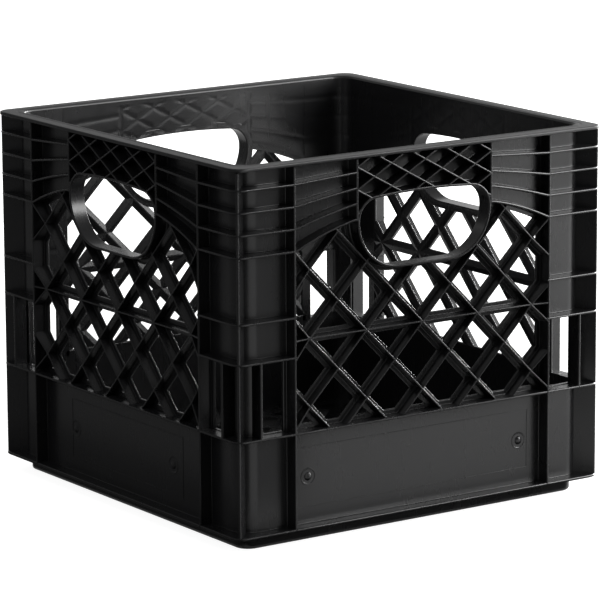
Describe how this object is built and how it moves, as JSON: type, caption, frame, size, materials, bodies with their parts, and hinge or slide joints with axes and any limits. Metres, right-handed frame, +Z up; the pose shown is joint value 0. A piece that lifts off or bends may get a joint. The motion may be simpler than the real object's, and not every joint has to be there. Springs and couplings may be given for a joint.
{
  "type": "stacking storage crate",
  "caption": "Square open-topped plastic crate with ribbed corner columns, lattice walls, a hand hole in each wall and a grid floor.",
  "frame": {"origin": "middle of the foot's underside, on the surface that the crate stands on", "axes": "+Z up; -Y is the front wall and +X is to its right; all four walls are alike"},
  "size_m": [0.33, 0.33, 0.28],
  "materials": {
    "black_plastic": "satin moulded polyethylene, black all through"
  },
  "bodies": {
    "root": {"front_rim": "black_plastic", "front_grip_panel": "black_plastic", "front_handle_ring": "black_plastic", "front_shoulder_a": "black_plastic", "front_shoulder_b": "black_plastic", "front_lattice": "black_plastic", "front_lattice_wing_a": "black_plastic", "front_lattice_wing_b": "black_plastic", "front_base_panel": "black_plastic", "front_foot": "black_plastic", "right_rim": "black_plastic", "right_grip_panel": "black_plastic", "right_handle_ring": "black_plastic", "right_shoulder_a": "black_plastic", "right_shoulder_b": "black_plastic", "right_lattice": "black_plastic", "right_lattice_wing_a": "black_plastic", "right_lattice_wing_b": "black_plastic", "right_base_panel": "black_plastic", "right_foot": "black_plastic", "rear_rim": "black_plastic", "rear_grip_panel": "black_plastic", "rear_handle_ring": "black_plastic", "rear_shoulder_a": "black_plastic", "rear_shoulder_b": "black_plastic", "rear_lattice": "black_plastic", "rear_lattice_wing_a": "black_plastic", "rear_lattice_wing_b": "black_plastic", "rear_base_panel": "black_plastic", "rear_foot": "black_plastic", "left_rim": "black_plastic", "left_grip_panel": "black_plastic", "left_handle_ring": "black_plastic", "left_shoulder_a": "black_plastic", "left_shoulder_b": "black_plastic", "left_lattice": "black_plastic", "left_lattice_wing_a": "black_plastic", "left_lattice_wing_b": "black_plastic", "left_base_panel": "black_plastic", "left_foot": "black_plastic", "front_left_column": "black_plastic", "front_left_slot_pillar": "black_plastic", "front_left_column_base": "black_plastic", "front_right_column": "black_plastic", "front_right_slot_pillar": "black_plastic", "front_right_column_base": "black_plastic", "rear_right_column": "black_plastic", "rear_right_slot_pillar": "black_plastic", "rear_right_column_base": "black_plastic", "rear_left_column": "black_plastic", "rear_left_slot_pillar": "black_plastic", "rear_left_column_base": "black_plastic", "floor_grid": "black_plastic"}
  },
  "joints": []
}
